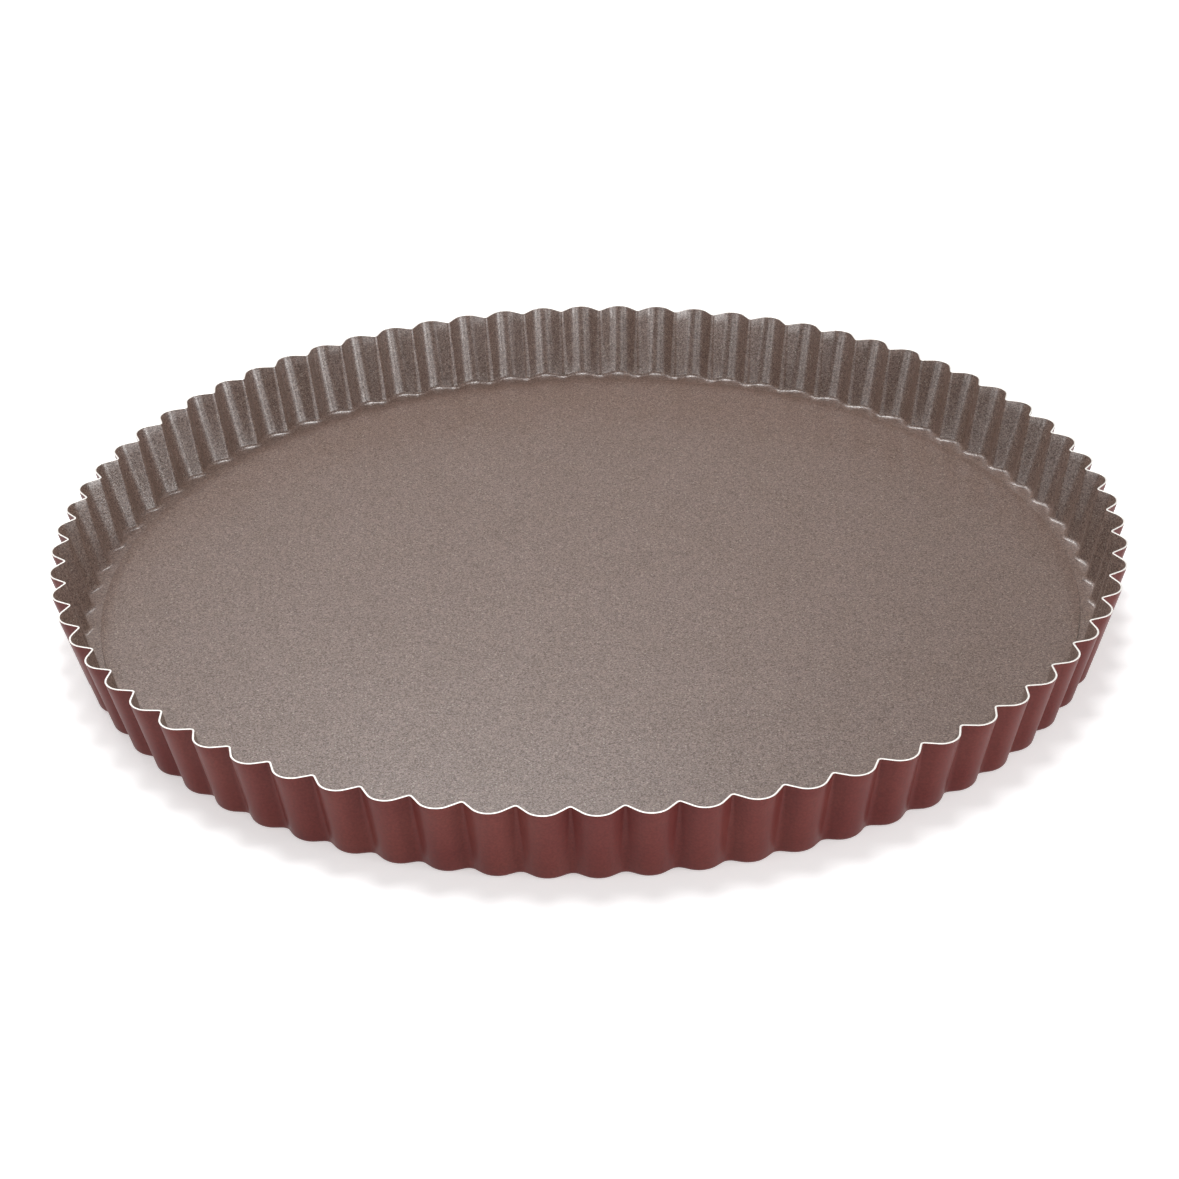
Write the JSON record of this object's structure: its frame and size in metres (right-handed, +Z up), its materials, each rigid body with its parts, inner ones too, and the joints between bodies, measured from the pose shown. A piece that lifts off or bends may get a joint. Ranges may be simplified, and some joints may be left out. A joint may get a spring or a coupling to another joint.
{
  "type": "tart pan",
  "caption": "Round fluted tart pan in thin coated steel: a flared ring with a base ledge and a loose base plate that lifts out.",
  "frame": {"origin": "centre of the resting face, level with the underside of the ring's ledge", "axes": "+Z up along the pan's axis of symmetry, from the resting face to the rim; a flute crest lies on +X"},
  "size_m": [0.32, 0.32, 0.024],
  "materials": {
    "outer_lacquer": "satin red-brown heat lacquer on the outside",
    "inner_coating": "satin grey-brown non-stick coating with fine metallic flecks",
    "bare_edge": "bare cut sheet steel at the rim"
  },
  "bodies": {
    "ring": {"fluted_ring": "outer_lacquer"},
    "base": {"base_plate": "inner_coating"}
  },
  "joints": [
    {"name": "base_lift", "type": "slide", "parent": "ring", "child": "base", "axis": [0, 0, 1], "range_m": [0, 0.025]}
  ]
}
